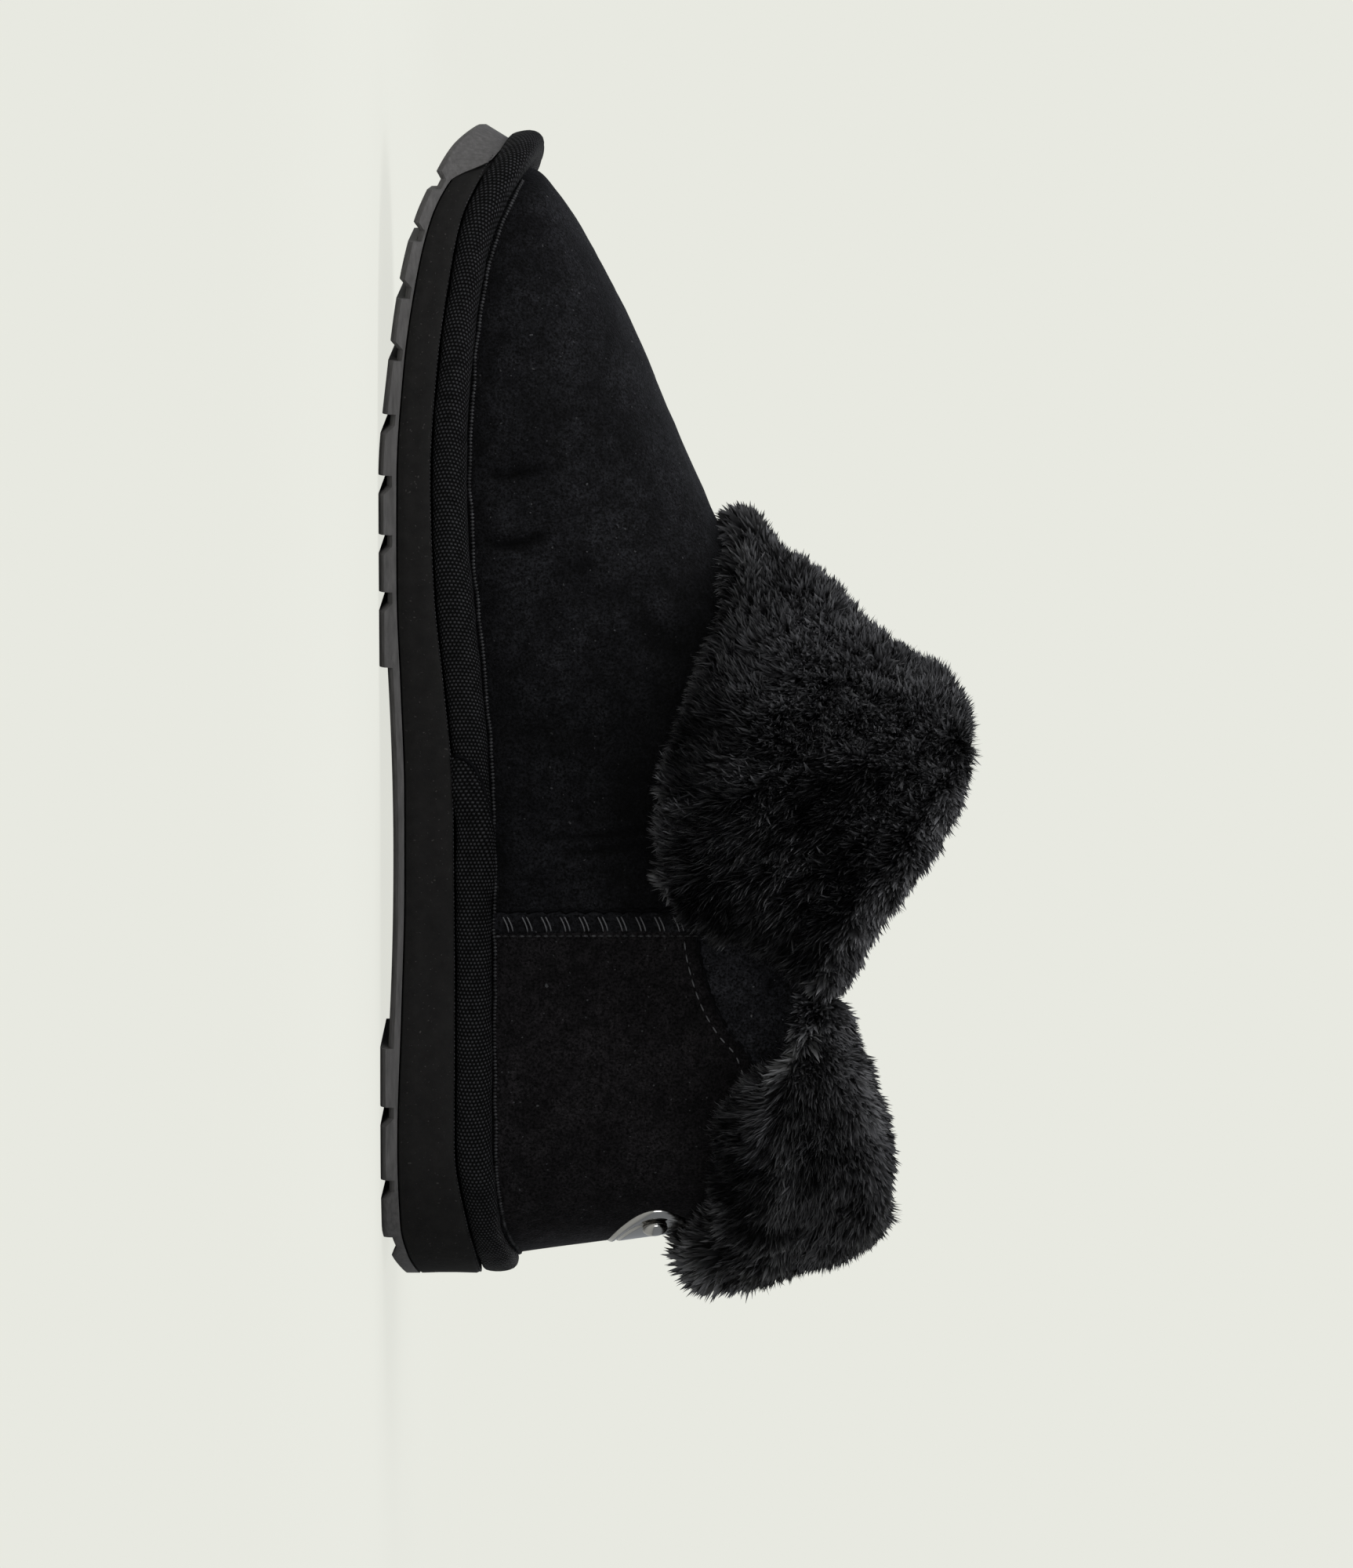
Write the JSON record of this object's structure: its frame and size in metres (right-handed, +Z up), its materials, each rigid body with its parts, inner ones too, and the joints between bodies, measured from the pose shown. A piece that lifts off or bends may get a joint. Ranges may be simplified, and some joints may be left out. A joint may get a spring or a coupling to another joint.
{
  "type": "sheepskin ankle boot",
  "caption": "Low ankle boot in suede and sheepskin for the right foot, with fur cuffs folded down over the ankle and a lugged rubber sole.",
  "frame": {"origin": "centre of the boot's footprint on the floor, under the middle of its bounding box", "axes": "+Z up; the toe points to -Y and the heel to +Y; +X is the inner side of the foot"},
  "size_m": [0.1226, 0.2691, 0.1348],
  "materials": {
    "outsole_rubber": "matte dark grey moulded rubber",
    "midsole_foam": "matte black foam rubber",
    "welt_tape": "woven twill tape",
    "lining_pile": "short sheepskin pile",
    "upper_suede": "napped suede",
    "cuff_fur": "long soft sheepskin fur",
    "plate_metal": "polished nickel"
  },
  "bodies": {
    "root": {"outsole": "outsole_rubber", "midsole": "midsole_foam", "welt": "welt_tape", "insole": "lining_pile", "upper": "upper_suede", "front_cuff": "cuff_fur", "back_cuff": "cuff_fur", "heel_plate": "plate_metal", "rivet_medial": "plate_metal", "rivet_lateral": "plate_metal"}
  },
  "joints": []
}
